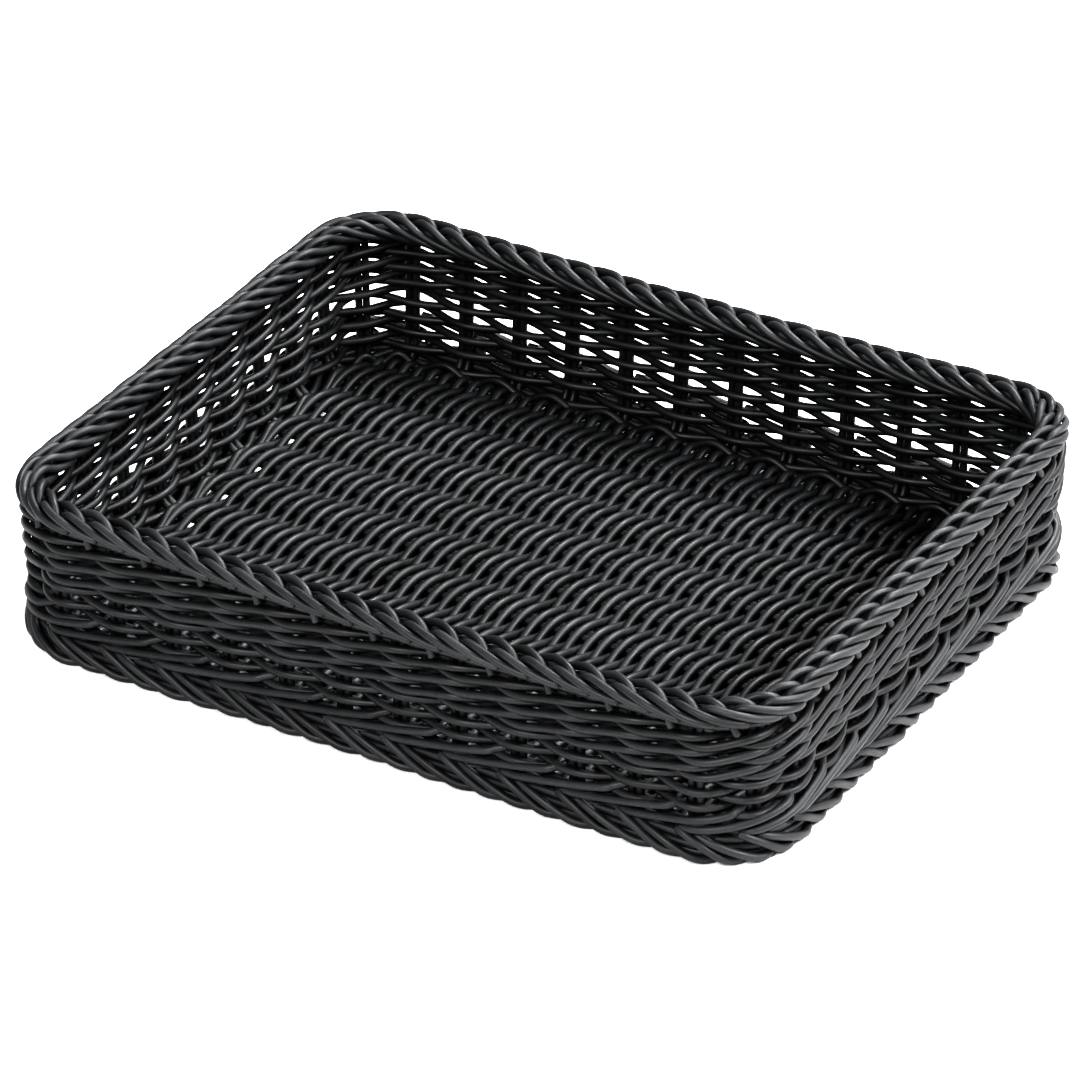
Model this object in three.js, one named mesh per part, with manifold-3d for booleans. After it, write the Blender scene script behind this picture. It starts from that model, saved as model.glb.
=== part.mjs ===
// Rectangular bread basket, woven from round polypropylene strand.
// Millimetres, +Z up. Origin: the middle of the footprint, on the surface the basket stands on.
// +X runs along the long side. Every strand pair and every woven course is a solid of its own.
import * as THREE from "three";
import { mergeVertices } from "three/addons/utils/BufferGeometryUtils.js";
import Module from "manifold-3d";

const wasm = await Module();
wasm.setup();

// Driving dimensions
const LENGTH = 325;
const WIDTH = 265;
const HEIGHT = 67;
const CORNER_RADIUS = 32.5;
const STRAND = 3.2;
const GAP = 0.3;
const GROUND_GAP = 0.35;
const STAKE_CLEARANCE = 0.7;
const STAKE_PITCH = 24;
const LONG_WALL_PAIRS = 12;
const SHORT_WALL_PAIRS = 9;
const COURSES = 6;
const COURSE_PITCH = 6.5;
const FIRST_COURSE_Z = 17.8;

// Stake pairs: two strands side by side, drawn as one flat band
const BAND_THICK = STRAND - GAP;
const BAND_WIDE = 2 * STRAND;
const BAND_EDGE = 0.8;
const BEND_RADIUS = 10;
const WALL_INSET = 6.2;
const CROSS_PAIR_Z = GROUND_GAP + BAND_THICK / 2;
const LONG_PAIR_Z = CROSS_PAIR_Z + BAND_THICK + GAP;

// Wall courses: strands that change sides between stakes, drawn as an outer and an inner ring
const COURSE_TALL = 6.1;
const COURSE_THICK = STRAND - GAP;
const COURSE_EDGE = 1;

// Borders: the rim covers the tops of the stakes, the foot wraps the outside of their bends
const RIM_TALL = 13.3;
const RIM_BOTTOM_Z = HEIGHT - RIM_TALL;
const STAKE_TOP_Z = RIM_BOTTOM_Z - GAP;
const RIM_INNER_INSET = 12.2;
const RIM_EDGE = 3.6;
const FOOT_INSET = 2.4;
const FOOT_CORNER_RADIUS = 28;
const FOOT_TOP_Z = 14.4;
const CORNER_STAKE_BOTTOM_Z = FOOT_TOP_Z + 2 * GAP;

// Woven floor: twined rows of even pitch, in strips that are parted over the middle of each cross pair
const FLOOR_TOP_Z = 9.2;
const FLOOR_HALF_SPAN = 116.5;
const END_STRIP_HALF_SPAN = 104;
const END_STRIP_X = 145;
const ROW_PITCH = STAKE_PITCH / 4;
const ROW_GROOVE_DEEP = 1.1;
const ROW_GROOVE_WIDE = 1.6;

const CORNER_STEPS = 6;
const ARC_STEPS = 3;
const BEND_STEPS = 2;

const blackStrand = new THREE.MeshStandardMaterial({ color: 0x303133, roughness: 0.6, metalness: 0 });
const borderStrand = new THREE.MeshStandardMaterial({ color: 0x3a3b3d, roughness: 0.55, metalness: 0 });

const basket = new THREE.Group();

function addNode(name, geometry, material) {
  const mesh = new THREE.Mesh(geometry, material);
  mesh.name = name;
  basket.add(mesh);
  return mesh;
}

// A rectangle with round corners, centred, as a Shape or as the Path of a hole.
function roundedRectangle(Kind, length, width, radius) {
  const x = length / 2 - radius;
  const y = width / 2 - radius;
  const outline = new Kind();
  outline.moveTo(x, -y - radius);
  outline.absarc(x, -y, radius, -Math.PI / 2, 0, false);
  outline.absarc(x, y, radius, 0, Math.PI / 2, false);
  outline.absarc(-x, y, radius, Math.PI / 2, Math.PI, false);
  outline.absarc(-x, -y, radius, Math.PI, 1.5 * Math.PI, false);
  outline.closePath();
  return outline;
}

// A level ring between two insets from the basket's outline, with eased edges.
function ring(outerInset, innerInset, bottom, top, edge) {
  const shape = roundedRectangle(
    THREE.Shape, LENGTH - 2 * outerInset, WIDTH - 2 * outerInset, CORNER_RADIUS - outerInset);
  shape.holes.push(roundedRectangle(
    THREE.Path, LENGTH - 2 * innerInset, WIDTH - 2 * innerInset, CORNER_RADIUS - innerInset));
  const geometry = new THREE.ExtrudeGeometry(shape, {
    depth: top - bottom - 2 * edge,
    bevelEnabled: true,
    bevelThickness: edge,
    bevelSize: edge,
    bevelOffset: -edge,
    bevelSegments: edge > 2 ? 2 : 1,
    curveSegments: ARC_STEPS,
  });
  geometry.translate(0, 0, bottom + edge);
  return geometry;
}

// A U-shaped band: down one wall, across the floor and up the other wall. Its outline lies in a
// vertical plane, halfSpan is from the middle to the centre of each upright.
function uBand(halfSpan, floorZ) {
  const outside = BEND_RADIUS + BAND_THICK / 2;
  const inside = BEND_RADIUS - BAND_THICK / 2;
  const bendX = halfSpan - BEND_RADIUS;
  const bendZ = floorZ + BEND_RADIUS;
  const outline = new THREE.Shape();
  outline.moveTo(bendX + outside, STAKE_TOP_Z);
  outline.lineTo(bendX + inside, STAKE_TOP_Z);
  outline.absarc(bendX, bendZ, inside, 0, -Math.PI / 2, true);
  outline.absarc(-bendX, bendZ, inside, -Math.PI / 2, -Math.PI, true);
  outline.lineTo(-bendX - inside, STAKE_TOP_Z);
  outline.lineTo(-bendX - outside, STAKE_TOP_Z);
  outline.absarc(-bendX, bendZ, outside, Math.PI, 1.5 * Math.PI, false);
  outline.absarc(bendX, bendZ, outside, 1.5 * Math.PI, 2 * Math.PI, false);
  outline.closePath();
  const geometry = new THREE.ExtrudeGeometry(outline, {
    depth: BAND_WIDE - 2 * BAND_EDGE,
    bevelEnabled: true,
    bevelThickness: BAND_EDGE,
    bevelSize: BAND_EDGE,
    bevelOffset: -BAND_EDGE,
    bevelSegments: 1,
    curveSegments: BEND_STEPS,
  });
  geometry.translate(0, 0, -BAND_WIDE / 2 + BAND_EDGE);
  geometry.rotateX(Math.PI / 2);
  return geometry;
}

// Centres of a row of pairs along a wall, even about the middle.
function pairCentres(count) {
  return Array.from({ length: count }, (_, i) => (i - (count - 1) / 2) * STAKE_PITCH);
}

function twoDigits(n) {
  return String(n).padStart(2, "0");
}

// Stake pairs that cross the floor along X and rise as the stakes of the two short walls
const shortWallPairs = pairCentres(SHORT_WALL_PAIRS);
shortWallPairs.forEach((y, i) => {
  const band = uBand(LENGTH / 2 - WALL_INSET, LONG_PAIR_Z);
  addNode(`lengthwise_pair_${twoDigits(i + 1)}`, band, blackStrand).position.y = y;
});

// Stake pairs that cross the floor along Y, below the others, and rise in the two long walls
const longWallPairs = pairCentres(LONG_WALL_PAIRS);
longWallPairs.forEach((x, i) => {
  const band = uBand(WIDTH / 2 - WALL_INSET, CROSS_PAIR_Z);
  const pair = addNode(`crosswise_pair_${twoDigits(i + 1)}`, band, blackStrand);
  pair.rotation.z = Math.PI / 2;
  pair.position.x = x;
});

// One upright pair in the middle of each round corner
const cornerX = LENGTH / 2 - CORNER_RADIUS;
const cornerY = WIDTH / 2 - CORNER_RADIUS;
const cornerReach = (CORNER_RADIUS - WALL_INSET) * Math.SQRT1_2;
[[1, 1], [-1, 1], [-1, -1], [1, -1]].forEach(([sx, sy], i) => {
  const tall = STAKE_TOP_Z - CORNER_STAKE_BOTTOM_Z;
  const section = roundedRectangle(THREE.Shape, BAND_THICK, BAND_WIDE, 1);
  const geometry = new THREE.ExtrudeGeometry(section, { depth: tall, bevelEnabled: false, curveSegments: 1 });
  const pair = addNode(`corner_pair_${i + 1}`, geometry, blackStrand);
  pair.position.set(
    sx * (cornerX + cornerReach), sy * (cornerY + cornerReach), CORNER_STAKE_BOTTOM_Z);
  pair.rotation.z = sx * sy * Math.PI / 4;
});

// Wall courses, numbered upwards: an outer and an inner ring each
for (let course = 0; course < COURSES; course++) {
  const middle = FIRST_COURSE_Z + course * COURSE_PITCH;
  const bottom = middle - COURSE_TALL / 2;
  const top = middle + COURSE_TALL / 2;
  const outerFace = WALL_INSET - BAND_THICK / 2 - STAKE_CLEARANCE - COURSE_THICK;
  const innerFace = WALL_INSET + BAND_THICK / 2 + STAKE_CLEARANCE;
  addNode(`wall_course_${course + 1}_outer`,
    ring(outerFace, outerFace + COURSE_THICK, bottom, top, COURSE_EDGE), blackStrand);
  addNode(`wall_course_${course + 1}_inner`,
    ring(innerFace, innerFace + COURSE_THICK, bottom, top, COURSE_EDGE), blackStrand);
}

// Rolled border around the rim, over the tops of the stakes
addNode("rim_border", ring(0, RIM_INNER_INSET, RIM_BOTTOM_Z, HEIGHT, RIM_EDGE), borderStrand);

// Foot border, wrapped round the outside of the bends, with a flat underside. Its section, as inset from
// the basket's outline and height, is carried round a rectangle with tighter corners than the wall's.
const footSection = [
  [FOOT_INSET + 1.2, 0],
  [FOOT_INSET + 6.1, 0],
  [FOOT_INSET + 6.1, 2.5],
  [FOOT_INSET + 3.6, 5.5],
  [FOOT_INSET + 1.9, 9],
  [FOOT_INSET + 1.7, FOOT_TOP_Z],
  [FOOT_INSET + 0.6, FOOT_TOP_Z],
  [FOOT_INSET, FOOT_TOP_Z - 1.6],
  [FOOT_INSET, 1.4],
];

// A closed section carried round a rounded rectangle: each corner turns the section about its own centre.
function carryRound(section, length, width, radius) {
  const steps = CORNER_STEPS;
  const positions = [];
  const index = [];
  const stations = [];
  [[1, -1], [1, 1], [-1, 1], [-1, -1]].forEach(([sx, sy], corner) => {
    for (let s = 0; s <= steps; s++) {
      const angle = (corner - 1 + s / steps) * Math.PI / 2;
      stations.push([sx * (length / 2 - radius), sy * (width / 2 - radius), Math.cos(angle), Math.sin(angle)]);
    }
  });
  for (const [cx, cy, dx, dy] of stations) {
    for (const [inset, z] of section) {
      const reach = radius + FOOT_INSET - inset;
      positions.push(cx + dx * reach, cy + dy * reach, z);
    }
  }
  const n = section.length;
  const m = stations.length;
  for (let i = 0; i < m; i++) {
    for (let j = 0; j < n; j++) {
      const a = i * n + j;
      const b = i * n + (j + 1) % n;
      const c = ((i + 1) % m) * n + (j + 1) % n;
      const d = ((i + 1) % m) * n + j;
      index.push(a, b, c, a, c, d);
    }
  }
  const geometry = new THREE.BufferGeometry();
  geometry.setAttribute("position", new THREE.Float32BufferAttribute(positions, 3));
  geometry.setIndex(index);
  return geometry;
}

addNode("foot_border", carryRound(
  footSection, LENGTH - 2 * FOOT_INSET, WIDTH - 2 * FOOT_INSET, FOOT_CORNER_RADIUS), borderStrand);

// Closed three.js geometry to a solid, and back again.
function toSolid(geometry) {
  const bare = geometry.clone();
  bare.deleteAttribute("normal");
  bare.deleteAttribute("uv");
  const merged = mergeVertices(bare, 1e-4);
  return new wasm.Manifold(new wasm.Mesh({
    numProp: 3,
    vertProperties: new Float32Array(merged.attributes.position.array),
    triVerts: new Uint32Array(merged.index.array),
  }));
}

function toGeometry(solid) {
  const mesh = solid.getMesh();
  const geometry = new THREE.BufferGeometry();
  geometry.setAttribute("position", new THREE.BufferAttribute(mesh.vertProperties, 3));
  geometry.setIndex(new THREE.BufferAttribute(mesh.triVerts, 1));
  geometry.computeVertexNormals();
  return geometry;
}

// One strip of the woven floor: twined rows side by side along Y with a groove between rows, a recess along
// each edge for the cross pair that lies below it, and a tunnel for each lengthwise pair that the rows go round.
function floorStrip(x0, x1, recess0, recess1, halfSpan) {
  const recessZ = CROSS_PAIR_Z + BAND_THICK / 2 + GAP;
  const section = new THREE.Shape();
  section.moveTo(x0 + recess0, GROUND_GAP);
  section.lineTo(x1 - recess1, GROUND_GAP);
  if (recess1 > 0) {
    section.lineTo(x1 - recess1, recessZ);
    section.lineTo(x1, recessZ);
  }
  section.lineTo(x1, FLOOR_TOP_Z);
  const firstRow = Math.floor(x0 / ROW_PITCH);
  const lastRow = Math.ceil(x1 / ROW_PITCH);
  for (let row = lastRow; row >= firstRow; row--) {
    const x = (row + 0.5) * ROW_PITCH;
    if (x - ROW_GROOVE_WIDE > x0 && x + ROW_GROOVE_WIDE < x1) {
      section.lineTo(x + ROW_GROOVE_WIDE / 2, FLOOR_TOP_Z);
      section.lineTo(x, FLOOR_TOP_Z - ROW_GROOVE_DEEP);
      section.lineTo(x - ROW_GROOVE_WIDE / 2, FLOOR_TOP_Z);
    }
  }
  section.lineTo(x0, FLOOR_TOP_Z);
  if (recess0 > 0) {
    section.lineTo(x0, recessZ);
    section.lineTo(x0 + recess0, recessZ);
  }
  section.closePath();
  const strip = new THREE.ExtrudeGeometry(section, { depth: 2 * halfSpan, bevelEnabled: false });
  strip.translate(0, 0, -halfSpan);
  strip.rotateX(Math.PI / 2);
  let solid = toSolid(strip);
  for (const y of shortWallPairs) {
    const tunnel = new THREE.BoxGeometry(2 * (x1 - x0), BAND_WIDE + 2 * GAP, BAND_THICK + 2 * GAP);
    tunnel.translate((x0 + x1) / 2, y, LONG_PAIR_Z);
    solid = solid.subtract(toSolid(tunnel));
  }
  return toGeometry(solid);
}

const stripEdges = [-END_STRIP_X, ...longWallPairs, END_STRIP_X];
const recess = BAND_WIDE / 2 + GAP;
for (let i = 0; i + 1 < stripEdges.length; i++) {
  const isFirst = i === 0;
  const isLast = i === stripEdges.length - 2;
  const x0 = isFirst ? stripEdges[i] : stripEdges[i] + GAP / 2;
  const x1 = isLast ? stripEdges[i + 1] : stripEdges[i + 1] - GAP / 2;
  const halfSpan = isFirst || isLast ? END_STRIP_HALF_SPAN : FLOOR_HALF_SPAN;
  const strip = floorStrip(x0, x1, isFirst ? 0 : recess, isLast ? 0 : recess, halfSpan);
  addNode(`floor_weave_${twoDigits(i + 1)}`, strip, blackStrand);
}

export default basket;
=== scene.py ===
import bpy
import numpy as np
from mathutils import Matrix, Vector


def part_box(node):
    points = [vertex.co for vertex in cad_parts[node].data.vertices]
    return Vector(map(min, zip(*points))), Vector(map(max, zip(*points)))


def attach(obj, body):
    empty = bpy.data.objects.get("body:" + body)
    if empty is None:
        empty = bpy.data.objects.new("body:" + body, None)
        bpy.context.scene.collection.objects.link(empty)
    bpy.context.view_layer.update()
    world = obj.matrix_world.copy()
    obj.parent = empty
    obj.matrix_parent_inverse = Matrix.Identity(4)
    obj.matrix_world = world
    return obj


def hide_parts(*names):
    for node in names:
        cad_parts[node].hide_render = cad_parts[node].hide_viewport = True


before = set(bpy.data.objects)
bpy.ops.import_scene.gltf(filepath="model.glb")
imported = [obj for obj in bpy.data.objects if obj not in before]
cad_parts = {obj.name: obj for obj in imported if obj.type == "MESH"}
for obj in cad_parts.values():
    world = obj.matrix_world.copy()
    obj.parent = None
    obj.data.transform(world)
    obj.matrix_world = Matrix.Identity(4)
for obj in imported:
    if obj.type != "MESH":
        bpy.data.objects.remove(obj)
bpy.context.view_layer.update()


# Camera: a long lens that looks down on the near right corner of the basket, from about 2.5 m.
camera_azimuth = np.radians(29.77)
camera_elevation = np.radians(31.16)
camera_distance = 2.5115
camera_lens = 226.3
look_at = Vector((-0.0004, -0.0043, 0.0266))
camera_offset = Vector((
    np.sin(camera_azimuth) * np.cos(camera_elevation),
    -np.cos(camera_azimuth) * np.cos(camera_elevation),
    np.sin(camera_elevation)))
camera_place = Vector((0, 0, 0.0325)) + camera_offset * camera_distance
camera_data = bpy.data.cameras.new("camera")
camera_data.lens = camera_lens
camera_data.sensor_width = 36
camera_data.clip_end = 20
camera = bpy.data.objects.new("camera", camera_data)
camera.location = camera_place
camera.rotation_euler = (look_at - camera_place).to_track_quat("-Z", "Y").to_euler()
bpy.context.scene.collection.objects.link(camera)
bpy.context.scene.camera = camera


# Stage: a plain matt white floor, and a soft studio light. One softbox hangs overhead towards the
# back, one stands at the right and one in front, and a pale room fills the shadows.
def add_node(material, kind, settings=None, values=None, links=None):
    """Adds one shader node, sets its options and input values, and joins its inputs to outputs."""
    node = material.node_tree.nodes.new(kind)
    for key, value in (settings or {}).items():
        setattr(node, key, value)
    for key, value in (values or {}).items():
        node.inputs[key].default_value = value
    for key, (source, output) in (links or {}).items():
        material.node_tree.links.new(source.outputs[output], node.inputs[key])
    return node


def linear_colour(hex6):
    """The linear colour of an sRGB hex code: the sRGB curve undone on each channel."""
    channels = np.array([int(hex6[i:i + 2], 16) for i in (0, 2, 4)]) / 255
    low = channels / 12.92
    high = ((channels + 0.055) / 1.055) ** 2.4
    return (*np.where(channels <= 0.04045, low, high), 1.0)


def empty_material(name):
    """A node material with nothing in it but its output; returns both."""
    material = bpy.data.materials.new(name)
    material.use_nodes = True
    material.node_tree.nodes.clear()
    return material, add_node(material, "ShaderNodeOutputMaterial")


floor_half = 4.0
floor_colour = "fafafa"
floor_mesh = bpy.data.meshes.new("studio_floor")
floor_mesh.from_pydata(
    [(-floor_half, -floor_half, 0), (floor_half, -floor_half, 0),
     (floor_half, floor_half, 0), (-floor_half, floor_half, 0)], [], [(0, 1, 2, 3)])
floor = bpy.data.objects.new("studio_floor", floor_mesh)
bpy.context.scene.collection.objects.link(floor)
floor_material, floor_output = empty_material("white_studio_floor")
floor_shader = add_node(floor_material, "ShaderNodeBsdfPrincipled", values={
    "Base Color": linear_colour(floor_colour), "Roughness": 0.8, "Specular IOR Level": 0.2})
floor_material.node_tree.links.new(floor_shader.outputs["BSDF"], floor_output.inputs["Surface"])
floor_mesh.materials.append(floor_material)

room_colour = "ffffff"
room_strength = 0.30
world = bpy.data.worlds.new("studio_room")
world.use_nodes = True
world.node_tree.nodes["Background"].inputs["Color"].default_value = linear_colour(room_colour)
world.node_tree.nodes["Background"].inputs["Strength"].default_value = room_strength
bpy.context.scene.world = world
bpy.context.scene.view_settings.view_transform = "Standard"
bpy.context.scene.view_settings.look = "Very High Contrast"

softboxes = {
    "overhead_softbox": {"place": (0.3, 1.3, 1.7), "size": 0.7, "power": 62},
    "right_softbox": {"place": (1.6, 0.3, 1.4), "size": 0.6, "power": 52},
    "front_fill": {"place": (0.1, -1.9, 1.6), "size": 0.7, "power": 46},
}
for name, box in softboxes.items():
    light = bpy.data.lights.new(name, "AREA")
    light.shape = "SQUARE"
    light.size = box["size"]
    light.energy = box["power"]
    lamp = bpy.data.objects.new(name, light)
    lamp.location = box["place"]
    lamp.rotation_euler = (look_at - lamp.location).to_track_quat("-Z", "Y").to_euler()
    bpy.context.scene.collection.objects.link(lamp)


# Stakes: pairs of round 3.2 mm polypropylene strands, extruded and cut to length. Each pair runs
# down one wall, across the floor and up the other wall, and both borders are woven from its ends.
# Sizes here and below are in millimetres, and the meshes are made in metres.
MM = 0.001
strand_radius = 1.58
pair_offset = 1.65
stake_pitch = 24
long_wall_pairs = 12
short_wall_pairs = 9
half_band = 1.45
wall_half_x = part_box("lengthwise_pair_01")[1][0] / MM - half_band
wall_half_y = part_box("crosswise_pair_01")[1][1] / MM - half_band
outline_radius = 29
rim_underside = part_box("rim_border")[0][2] / MM


def streaked_plastic(name, dark, pale, roughness):
    """Near black extruded plastic: each strand has its own tone, draw lines run along it (noise
    drawn out along the strand's length), and fine grain and rubbed patches lie over both."""
    material, output = empty_material(name)
    lengthwise = add_node(material, "ShaderNodeUVMap", {"uv_map": "strand"})
    drawn_out = add_node(material, "ShaderNodeMapping", values={"Scale": (0.045, 13.0, 1.0)},
                         links={"Vector": (lengthwise, "UV")})
    streaks = add_node(material, "ShaderNodeTexNoise",
                       values={"Scale": 1.0, "Detail": 3.0, "Roughness": 0.6},
                       links={"Vector": (drawn_out, "Vector")})
    place = add_node(material, "ShaderNodeTexCoord")
    patches = add_node(material, "ShaderNodeTexNoise", values={"Scale": 140.0, "Detail": 3.0},
                       links={"Vector": (place, "Object")})
    grain = add_node(material, "ShaderNodeTexNoise", values={"Scale": 2600.0, "Detail": 2.0},
                     links={"Vector": (place, "Object")})
    tone = add_node(material, "ShaderNodeAttribute", {"attribute_name": "tone"})
    tone_and_streaks = add_node(material, "ShaderNodeMath", {"operation": "MULTIPLY_ADD"},
                                {1: 0.6}, {0: (streaks, "Fac"), 2: (tone, "Fac")})
    with_patches = add_node(material, "ShaderNodeMath", {"operation": "MULTIPLY_ADD"},
                            {1: 0.5}, {0: (patches, "Fac"), 2: (tone_and_streaks, "Value")})
    with_grain = add_node(material, "ShaderNodeMath", {"operation": "MULTIPLY_ADD"},
                          {1: 0.7}, {0: (grain, "Fac"), 2: (with_patches, "Value")})
    level = add_node(material, "ShaderNodeMapRange",
                     values={"From Min": 0.75, "From Max": 1.65},
                     links={"Value": (with_grain, "Value")})
    colour = add_node(material, "ShaderNodeMix", {"data_type": "RGBA"},
                      links={"Factor": (level, "Result")})
    colour.inputs[6].default_value = linear_colour(dark)
    colour.inputs[7].default_value = linear_colour(pale)
    sheen = add_node(material, "ShaderNodeMapRange",
                     values={"From Min": 0.3, "From Max": 0.7, "To Min": roughness[0],
                             "To Max": roughness[1]},
                     links={"Value": (patches, "Fac")})
    draw_lines = add_node(material, "ShaderNodeBump",
                          values={"Strength": 0.35, "Distance": 0.00012},
                          links={"Height": (streaks, "Fac")})
    fine_grain = add_node(material, "ShaderNodeBump",
                          values={"Strength": 0.25, "Distance": 0.00006},
                          links={"Height": (grain, "Fac"), "Normal": (draw_lines, "Normal")})
    shader = add_node(material, "ShaderNodeBsdfPrincipled", values={"IOR": 1.49},
                      links={"Base Color": (colour, 2), "Roughness": (sheen, "Result"),
                             "Normal": (fine_grain, "Normal")})
    material.node_tree.links.new(shader.outputs["BSDF"], output.inputs["Surface"])
    return material


strand_plastic = streaked_plastic("black_polypropylene_strand", "0e0f10", "2a2b2d", (0.45, 0.60))


def moving_centre(t, knots, centre_a, centre_b, degrees, radius):
    """A path of straights and arcs: its centre and its turning angle are straight-line functions
    of t between the knots, and the point is centre + radius * (sin angle, -cos angle)."""
    angle = np.radians(np.interp(t, knots, degrees))
    a = np.interp(t, knots, centre_a)
    b = np.interp(t, knots, centre_b)
    return a + radius * np.sin(angle), b - radius * np.cos(angle), angle


def lean(z):
    """The wall stands 2.2 mm further in at the floor than at the rim, in a straight line."""
    return -2.2 * np.clip(1 - z / rim_underside, 0, 1)


outline_x = wall_half_x - outline_radius
outline_y = wall_half_y - outline_radius
quarter = np.pi / 2 * outline_radius
outline_runs = [outline_x, quarter, 2 * outline_y, quarter, 2 * outline_x, quarter,
                2 * outline_y, quarter, outline_x]
outline_knots = np.concatenate([[0], np.cumsum(outline_runs)])
lap = outline_knots[-1]


def outline_stations():
    """How far along the wall every stake pair stands, from the middle of the near wall and
    anticlockwise: even pitches on the four walls, and one pair midway round each corner."""
    along_x = stake_pitch * (np.arange(long_wall_pairs) - (long_wall_pairs - 1) / 2)
    along_y = stake_pitch * (np.arange(short_wall_pairs) - (short_wall_pairs - 1) / 2)
    middles = lap * 0.25 * np.arange(4)
    walls = [along_x + middles[0], along_y + middles[1], along_x + middles[2], along_y + middles[3]]
    stations = []
    for wall, next_wall in zip(walls, walls[1:] + [walls[0] + lap]):
        stations += [*wall, (wall[-1] + next_wall[0]) / 2]
    return np.array(stations)


stations = outline_stations()
station_count = len(stations)


def along_wall(phi):
    """Distance along the wall at stake number phi: a straight line between neighbours."""
    turns = np.floor(phi / station_count)
    known = np.append(stations, stations[0] + lap)
    return np.interp(phi - turns * station_count, np.arange(station_count + 1), known) + turns * lap


hang_at_rim = 2.4
hang_rim_z = 62
hang_half_length = 150


def hang(x, z):
    """How far a long wall hangs at x and height z: a parabola along x, in proportion to height."""
    return hang_at_rim * (z / hang_rim_z) * np.clip(1 - (x / hang_half_length) ** 2, 0, 1)


def wall_points(s, out, z):
    """Points on the wall at distance s, moved out along the wall's normal, leaned with height, and
    lowered by the hang where the wall is a long one. Also the normals."""
    knots_x = outline_x * np.array([0, 1, 1, 1, 1, -1, -1, -1, -1, 0])
    knots_y = outline_y * np.array([-1, -1, -1, 1, 1, 1, 1, -1, -1, -1])
    knots_turn = [0, 0, 90, 90, 180, 180, 270, 270, 360, 360]
    s, out, z = np.broadcast_arrays(s, out, z)
    x, y, angle = moving_centre(np.mod(s, lap), outline_knots, knots_x, knots_y, knots_turn,
                                outline_radius + out + lean(z))
    lowered = hang(x, z) * np.abs(np.cos(angle))
    normal = np.stack([np.sin(angle), -np.cos(angle), 0 * angle], -1)
    return np.stack([x, y, z - lowered], -1), normal


def unit(vectors):
    """The same directions with length 1."""
    return vectors / np.linalg.norm(vectors, axis=-1, keepdims=True)


def strand_piece(name, routes, facing, material, nodes, closed=False, sides=8, seed=1,
                 radius=strand_radius):
    """Round strands along routes (strand, station, xyz). At each station a circle stands square to
    the route: centre + radius * (cos turn * across + sin turn * over), where across is
    facing x along and over is along x across. Open strands end in a blunt cut: a last circle of
    0.72 radius 0.3 mm further on, and a middle point."""
    routes = np.asarray(routes, float)
    count = routes.shape[0]
    if closed:
        along = unit(np.roll(routes, -1, 1) - np.roll(routes, 1, 1))
    else:
        along = unit(np.gradient(routes, axis=1))
    across = unit(np.cross(np.broadcast_to(facing, routes.shape), along))
    over = np.cross(along, across)
    widths = np.full(routes.shape[1], radius)
    if not closed:
        first = routes[:, :1] - 0.3 * along[:, :1]
        last = routes[:, -1:] + 0.3 * along[:, -1:]
        poles = np.concatenate([first, last], 1)
        routes = np.concatenate([first, routes, last], 1)
        across = np.concatenate([across[:, :1], across, across[:, -1:]], 1)
        over = np.concatenate([over[:, :1], over, over[:, -1:]], 1)
        widths = np.concatenate([[0.72 * radius], widths, [0.72 * radius]])
    length = routes.shape[1]
    turn = 2 * np.pi * np.arange(sides) / sides
    circle = (np.cos(turn)[:, None] * across[:, :, None] + np.sin(turn)[:, None] * over[:, :, None])
    rings = routes[:, :, None] + widths[:, None, None] * circle
    vertices = rings.reshape(count, length * sides, 3)
    steps = length if closed else length - 1
    i, j = np.meshgrid(np.arange(steps), np.arange(sides), indexing="ij")
    i, j = i.ravel(), j.ravel()
    after_i, after_j = (i + 1) % length, (j + 1) % sides
    quads = np.stack([i * sides + j, i * sides + after_j, after_i * sides + after_j,
                      after_i * sides + j], -1)
    gaps = np.linalg.norm(np.diff(routes, axis=1), axis=-1).mean(0)
    run = np.concatenate([[0], np.cumsum(gaps)])
    run = np.append(run, run[-1] + gaps[-1])
    quad_uv = np.stack([np.stack([run[i], run[i], run[i + 1], run[i + 1]], -1),
                        np.stack([j, j + 1, j + 1, j], -1) / sides], -1)
    corners, sizes, uv = quads.ravel(), np.full(len(quads), 4), quad_uv.reshape(-1, 2)
    if not closed:
        vertices = np.concatenate([vertices, poles], 1)
        start_pole, end_pole = length * sides, length * sides + 1
        around = np.arange(sides)
        beyond = (around + 1) % sides
        end_ring = (length - 1) * sides
        fans = np.concatenate([
            np.stack([np.full(sides, start_pole), beyond, around], -1),
            np.stack([np.full(sides, end_pole), end_ring + around, end_ring + beyond], -1)])
        corners = np.concatenate([corners, fans.ravel()])
        sizes = np.concatenate([sizes, np.full(len(fans), 3)])
        uv = np.concatenate([uv, np.full((fans.size, 2), 0.5)])
    each = vertices.shape[1]
    corners = (corners[None] + each * np.arange(count)[:, None]).ravel()
    sizes = np.tile(sizes, count)
    random = np.random.default_rng(seed)
    offsets = np.repeat(random.uniform(0, 400, count), len(uv))
    uv = np.tile(uv, (count, 1))
    uv[:, 0] += offsets
    mesh = bpy.data.meshes.new(name)
    mesh.vertices.add(count * each)
    mesh.vertices.foreach_set("co", (vertices * MM).ravel())
    mesh.loops.add(len(corners))
    mesh.loops.foreach_set("vertex_index", corners.astype(np.int32))
    mesh.polygons.add(len(sizes))
    mesh.polygons.foreach_set("loop_start", np.concatenate([[0], np.cumsum(sizes)[:-1]]))
    mesh.polygons.foreach_set("use_smooth", np.ones(len(sizes), bool))
    mesh.uv_layers.new(name="strand").data.foreach_set("uv", uv.ravel())
    tone = mesh.attributes.new("tone", "FLOAT", "POINT")
    tone.data.foreach_set("value", np.repeat(random.uniform(0, 0.5, count), each))
    mesh.update(calc_edges=True)
    mesh.validate()
    mesh.materials.append(material)
    piece = bpy.data.objects.new(name, mesh)
    bpy.context.scene.collection.objects.link(piece)
    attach(piece, "root")
    if nodes:
        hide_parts(*nodes)
    return piece


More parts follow.
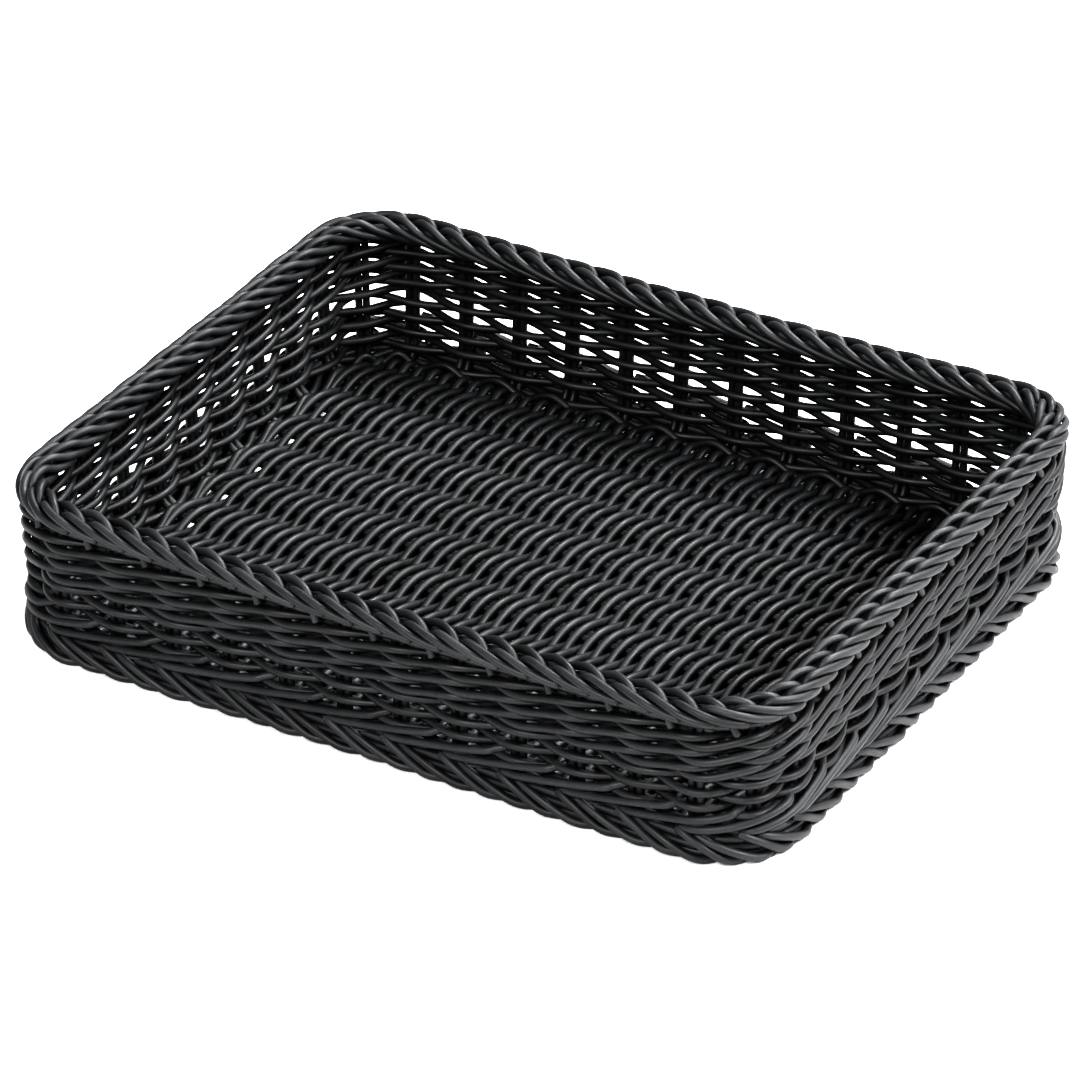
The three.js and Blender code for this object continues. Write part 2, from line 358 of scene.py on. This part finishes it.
def stake_route(half, floor_z, top_z, bend, count):
    """A U in its own upright plane: down a wall, round a bend, across the floor, and up again, with
    the wall's lean. Returns the way across and the height."""
    side = half - bend
    leg = top_z - floor_z - bend
    arc = np.pi / 2 * bend
    knots = np.cumsum([0, leg, arc, 2 * side, arc, leg])
    across, height, _ = moving_centre(
        np.linspace(0, knots[-1], count), knots, [-side, -side, -side, side, side, side],
        [top_z, floor_z + bend, floor_z + bend, floor_z + bend, floor_z + bend, top_z],
        [-90, -90, 0, 0, 90, 90], bend)
    return across * (1 + lean(height) / half), height


stake_top = rim_underside + 5
stake_bend = 10
crosswise_floor_z = 1.9
lengthwise_floor_z = 5.0
spread_in_floor = 2.9
stake_steps = 170
spread_starts = 12
spread_run = 14
stake_wander = 0.25
crosswise_wave = 31
lengthwise_wave = 37
random_stakes = np.random.default_rng(11)
for k in range(long_wall_pairs):
    x = stake_pitch * (k - (long_wall_pairs - 1) / 2)
    across, height = stake_route(wall_half_y, crosswise_floor_z, stake_top, stake_bend, stake_steps)
    in_floor = np.clip((wall_half_y - spread_starts - np.abs(across)) / spread_run, 0, 1)
    apart = pair_offset + (spread_in_floor - pair_offset) * in_floor
    wander = stake_wander * np.sin(across / crosswise_wave + random_stakes.uniform(0, 6))
    lowered = height - hang(x, height)
    routes = [np.stack([x + side * apart + wander, across, lowered], -1) for side in (-1, 1)]
    strand_piece(f"crosswise_pair_{k + 1:02d}_strands", routes, (1, 0, 0), strand_plastic,
                 [f"crosswise_pair_{k + 1:02d}"], seed=20 + k)
for k in range(short_wall_pairs):
    y = stake_pitch * (k - (short_wall_pairs - 1) / 2)
    across, height = stake_route(wall_half_x, lengthwise_floor_z, stake_top, stake_bend, stake_steps)
    wander = stake_wander * np.sin(across / lengthwise_wave + random_stakes.uniform(0, 6))
    routes = [np.stack([across, y + side * pair_offset + wander, height], -1) for side in (-1, 1)]
    strand_piece(f"lengthwise_pair_{k + 1:02d}_strands", routes, (0, 1, 0), strand_plastic,
                 [f"lengthwise_pair_{k + 1:02d}"], seed=40 + k)
corner_numbers = [long_wall_pairs, long_wall_pairs + short_wall_pairs + 1,
                  2 * long_wall_pairs + short_wall_pairs + 2, station_count - 1]
corner_nodes = dict.fromkeys([(1, -1), (1, 1), (-1, 1), (-1, -1)])
for number in range(1, 5):
    low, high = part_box(f"corner_pair_{number}")
    corner_nodes[(int(np.sign(low[0] + high[0])), int(np.sign(low[1] + high[1])))] = number
corner_foot_z = 3.5
for phi, number in zip(corner_numbers, corner_nodes.values()):
    height = np.linspace(corner_foot_z, stake_top, 24)
    routes = []
    for side in (-1, 1):
        points, normals = wall_points(stations[phi] + side * pair_offset, 0, height)
        routes.append(points)
    strand_piece(f"corner_pair_{number}_strands", routes, normals, strand_plastic,
                 [f"corner_pair_{number}"], seed=60 + number)


# Lower wall: single strands in plain weave, each row in front of one stake pair and behind the
# next, and the next row the other way round. Beaten down, the rows lie nearly strand on strand, and
# the lowest three follow the bends of the stakes inwards, behind the foot border.
first_row_z = 6.6
row_rise = 3.27
row_swing = 3.2
rows_under_frame = 3
rows = 9
bend_start_z = 13.0
bend_tuck = 0.075
row_wander = 0.12
steps_per_stake = 12
row_phi = np.arange(station_count * steps_per_stake) / steps_per_stake
for n in range(rows):
    wander = row_wander * np.sin(2 * np.pi * row_phi * 7 / station_count + 1.7 * n)
    row_z = first_row_z + row_rise * n
    tuck = bend_tuck * max(0.0, bend_start_z - row_z) ** 2
    points, normals = wall_points(along_wall(row_phi),
                                  row_swing * np.cos(np.pi * (row_phi + n)) - tuck, row_z + wander)
    above = n - rows_under_frame
    nodes = [f"wall_course_{above // 2 + 1}_{'inner' if above % 2 else 'outer'}"] if above >= 0 else []
    strand_piece(f"wall_row_{n + 1}", points[None], (0, 0, 1), strand_plastic,
                 nodes, closed=True, seed=80 + n)


# Upper wall: three wales, each of three strands that go in front of two stake pairs and behind
# the third, one stake apart. The three join end to end after one lap, as one strand of three laps.
wale_z = (38.3, 44.8, 51.3)
wale_strands = 3
wale_phi = np.arange(wale_strands * station_count * steps_per_stake) / steps_per_stake
for n, middle_z in enumerate(wale_z):
    beat = 2 * np.pi * (wale_phi - 0.5) / wale_strands
    wave = np.cos(beat)
    out = row_swing * (0.35 + 1.583 * wave - 0.3 * wave ** 2 - 0.533 * wave ** 3)
    points, normals = wall_points(along_wall(wale_phi), out,
                                  middle_z + 1.75 * np.sin(beat) + 0.45 * np.sin(2 * beat))
    strand_piece(f"wale_{n + 1}", points[None], (0, 0, 1), strand_plastic,
                 [f"wall_course_{n + 4}_outer", f"wall_course_{n + 4}_inner"],
                 closed=True, seed=90 + n)


# Floor: twined rows across the basket, two strands each, which cross between every two lengthwise
# pairs. One piece stands for each woven strip of the frame. The filler strands below the rows are
# invented. They are painted shade: dark strands that stand in for the shaded ground under the basket,
# which would otherwise show pale through the weave. An edging strand runs round the floor.
floor_row_pitch = stake_pitch / 4
floor_mid_z = 5.0
floor_swing = 3.05
twist_lean = 1.4
floor_steps = 150
floor_wander = 0.3
floor_wave = 36
floor_corner_x = 127.3
floor_corner_reach = 23.5
floor_nodes = [f"floor_weave_{n:02d}" for n in range(1, 14)]
floor_bounds = [(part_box(node)[0][0] / MM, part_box(node)[1][0] / MM) for node in floor_nodes]
random_floor = np.random.default_rng(17)
for index, (node, (low, high)) in enumerate(zip(floor_nodes, floor_bounds)):
    first = int(np.ceil((low - 0.5) / floor_row_pitch))
    last = int(np.ceil((high - 0.5) / floor_row_pitch))
    routes = []
    for m in range(first, last):
        x = m * floor_row_pitch
        reach = outline_y + np.sqrt(
            max(floor_corner_reach ** 2 - max(0.0, abs(x) - floor_corner_x) ** 2, 4.0)) - 2.5
        y = np.linspace(-reach, reach, floor_steps)
        phase = random_floor.uniform(0, 6)
        for j in (0, 1):
            twist = np.pi * (y / stake_pitch + j)
            fade = np.clip((reach - np.abs(y)) / 6, 0, 1)
            wander = floor_wander * np.sin(y / floor_wave + phase)
            z = floor_mid_z + floor_swing * np.cos(twist) * fade - 1.0 * (1 - fade)
            routes.append(np.stack([x + twist_lean * np.sin(twist) + wander, y, z], -1))
    strand_piece(f"floor_rows_{index + 1:02d}", routes, (1, 0, 0), strand_plastic,
                 [node], seed=110 + index)

# Painted shade: dark strands under the floor rows stand in for the shaded ground below the basket.
filler_bays = stake_pitch * (np.arange(long_wall_pairs - 1) - (long_wall_pairs - 2) / 2)
filler_half = 112
filler_y = np.linspace(-filler_half, filler_half, 40)
filler_routes = [np.stack([np.full_like(filler_y, bay + side * floor_row_pitch / 2), filler_y,
                           np.full_like(filler_y, crosswise_floor_z)], -1)
                 for bay in filler_bays for side in (-1, 1)]
strand_piece("under_floor_shade_filler_strands", filler_routes, (1, 0, 0), strand_plastic,
             [], seed=129)
edging_out = -7.6
edging_z = 6.6
edging_swing = 2.2
edging_shift = 0.2
points, normals = wall_points(along_wall(row_phi), edging_out,
                              edging_z + edging_swing * np.cos(2 * np.pi * (row_phi - edging_shift)))
strand_piece("floor_edging_strand", points[None], (0, 0, 1), strand_plastic,
             [], closed=True, seed=130)


# Rim border: the stake ends are rolled over the rim into slanting strands, inside to outside, a
# little paler where hands rub them. The core rings inside the roll are invented, to close it, and
# they pass through the stake tops.
border_plastic = streaked_plastic("rubbed_polypropylene_strand", "131415", "343537", (0.46, 0.60))
rim_slots = 2 * station_count
rim_first = 4
rim_jitter = 0.15


def smooth_route(stops, count):
    """A cubic Hermite curve through the stops, whose slopes are the stops' own gradients."""
    stops = np.asarray(stops, float)
    slopes = np.gradient(stops, axis=0)
    t = np.linspace(0, len(stops) - 1, count)
    k = np.minimum(t.astype(int), len(stops) - 2)
    f = (t - k)[:, None]
    return ((2 * f ** 3 - 3 * f ** 2 + 1) * stops[k] + (f ** 3 - 2 * f ** 2 + f) * slopes[k]
            + (3 * f ** 2 - 2 * f ** 3) * stops[k + 1] + (f ** 3 - f ** 2) * slopes[k + 1])


over_the_rim = [(-1.5, -0.2, 60.5), (0, 0.7, 63.6), (3, 1.8, 64.6), (8, 3.2, 64.0), (13, 4.2, 62.9),
                (18, 4.6, 61.6), (24, 4.3, 60.2), (27, 3.6, 59.6)]
inside_the_rim = [(-30, -1.5, 55.5), (-27, -3.6, 57.2), (-18, -5.2, 59.6), (-9, -5.3, 62.3),
                  (-2, -3.8, 65.1), (4, -1.2, 64.8), (7, 0.2, 62.6), (9, 1.5, 59.5),
                  (10.5, 2.2, 56.5), (11.5, 2.6, 54.4)]


def border_routes(stops, count, numbers, per_station, first, jitter, random):
    """Copies of one route along the wall. Its stops are (distance along the wall, distance out,
    height); distances along the wall are scaled with the stake pitch, so that they close up at the
    corners. Each copy is moved by a small random amount."""
    route = smooth_route(stops, count)
    shift = random.normal(0, jitter, (len(numbers), 3))
    phi = (np.asarray(numbers)[:, None] / per_station
           + (first + route[None, :, 0] + shift[:, :1]) / stake_pitch)
    return wall_points(along_wall(phi), route[None, :, 1] + shift[:, 1:2],
                       route[None, :, 2] + shift[:, 2:3])


rim_core = ((-2.0, 61.0), (1.2, 60.8), (-2.4, 57.9), (1.0, 57.4))
core_phi = np.arange(station_count * 4) / 4
core_routes = [wall_points(along_wall(core_phi), out, z)[0] for out, z in rim_core]
strand_piece("rim_border_core_strands", core_routes, (0, 0, 1), border_plastic,
             ["rim_border"], closed=True, seed=149)
random_rim = np.random.default_rng(5)
slots_all = np.arange(rim_slots)
outer_points, outer_normals = border_routes(over_the_rim, 18, slots_all, 2, rim_first, rim_jitter,
                                            random_rim)
inner_points, inner_normals = border_routes(inside_the_rim, 30, slots_all[::2], 2, rim_first,
                                            rim_jitter, random_rim)
tucked_points, tucked_normals = border_routes(inside_the_rim[:-2], 26, slots_all[1::2], 2,
                                              rim_first, rim_jitter, random_rim)
strand_piece("rim_border_outside_strands", outer_points, outer_normals, border_plastic,
             ["rim_border"], seed=150)
strand_piece("rim_border_inside_strands", inner_points, inner_normals, border_plastic,
             ["rim_border"], seed=151)
strand_piece("rim_border_tucked_strands", tucked_points, tucked_normals, border_plastic,
             ["rim_border"], seed=152)


# Foot border: strands laid round the outside of the stakes' bends. On each stake pair one long
# strand runs up to the right, and two short ones run down and under the foot. The core rings
# behind them are invented, to close the border, and they pass through the strands round them.
foot_long = [(-8, 0, 11), (-4, 3.0, 13.4), (2, 4.4, 14.3), (20, 4.6, 17.4), (36, 4.2, 20.6),
             (40, 2.5, 21.8), (44, 0.5, 23)]
foot_slant_1 = [(-6.3, 3, 12.5), (-3, 4.3, 11.2), (2, 5.0, 8.6), (7, 5.2, 5.4), (12.5, 4.9, 2.6),
                (19, 2.6, 1.75), (25, -2, 1.75)]
foot_slant_2 = [(0.8, 2.6, 11), (8, 4.4, 8.9), (17, 5.4, 5.5), (24.8, 5.1, 2.5), (31, 2.8, 1.75),
                (37, -2, 1.75)]
foot_core = ((1.3, 9.2), (2.0, 6.0), (1.4, 2.8), (-1.9, 3.0))
core_routes = [wall_points(along_wall(core_phi), out, z)[0] for out, z in foot_core]
strand_piece("foot_border_core_strands", core_routes, (0, 0, 1), border_plastic,
             ["foot_border"], closed=True, seed=159)
random_foot = np.random.default_rng(8)
foot_jitter = 0.12
foot_steps = 34
stations_all = np.arange(station_count)
for label, stops, seed in (("long", foot_long, 160), ("short", foot_slant_1, 161),
                           ("lower", foot_slant_2, 162)):
    points, normals = border_routes(stops, foot_steps, stations_all, 1, 0, foot_jitter,
                                    random_foot)
    strand_piece(f"foot_border_{label}_strands", points, normals + (0, 0, 0.35), border_plastic,
                 ["foot_border"], seed=seed)
